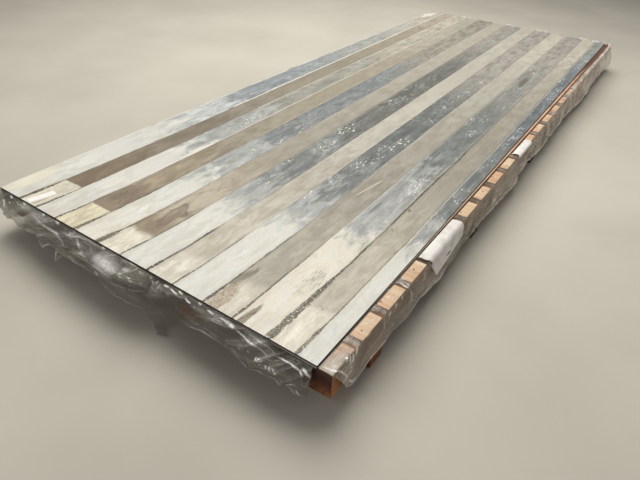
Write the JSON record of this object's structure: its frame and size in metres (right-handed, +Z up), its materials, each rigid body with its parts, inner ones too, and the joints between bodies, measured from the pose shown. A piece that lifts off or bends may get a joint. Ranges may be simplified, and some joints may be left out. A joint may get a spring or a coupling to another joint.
{
  "type": "aluminium composite panel load",
  "caption": "Flat aluminium composite panels with a weathered plank decor, lying on a long slatted timber pallet, with cut clear wrap hanging round the sides.",
  "frame": {"origin": "on the floor below the middle of the whole outline", "axes": "+Z up, Y along the length of the sheets, +X to the side where the deck shows beside them"},
  "size_m": [1.559, 4.0606, 0.198],
  "materials": {
    "decor_coat": "satin coil coating with a weathered plank decor",
    "copper_coat": "satin copper brown coil coating",
    "slat_wood": "rough sawn softwood",
    "timber": "rough sawn timber",
    "clear_film": "clear crinkled polyethylene film",
    "white_pad": "soft white foam sheet"
  },
  "bodies": {
    "root": {"panel_top": "decor_coat", "panel_lower": "copper_coat", "deck_slat_01": "slat_wood", "deck_slat_02": "slat_wood", "deck_slat_03": "slat_wood", "deck_slat_04": "slat_wood", "deck_slat_05": "slat_wood", "deck_slat_06": "slat_wood", "deck_slat_07": "slat_wood", "deck_slat_08": "slat_wood", "deck_slat_09": "slat_wood", "deck_slat_10": "slat_wood", "deck_slat_11": "slat_wood", "deck_slat_12": "slat_wood", "deck_slat_13": "slat_wood", "deck_slat_14": "slat_wood", "deck_slat_15": "slat_wood", "deck_slat_16": "slat_wood", "deck_slat_17": "slat_wood", "deck_slat_18": "slat_wood", "deck_slat_19": "slat_wood", "deck_slat_20": "slat_wood", "deck_slat_21": "slat_wood", "deck_slat_22": "slat_wood", "deck_slat_23": "slat_wood", "deck_slat_24": "slat_wood", "stringer_1": "timber", "stringer_2": "timber", "stringer_3": "timber", "stringer_4": "timber", "bearer_1": "timber", "bearer_2": "timber", "bearer_3": "timber", "bearer_4": "timber", "bearer_5": "timber", "film_front": "clear_film", "film_back": "clear_film", "film_left": "clear_film", "film_right": "clear_film", "edge_pad_long": "white_pad", "edge_pad_short": "white_pad"}
  },
  "joints": []
}
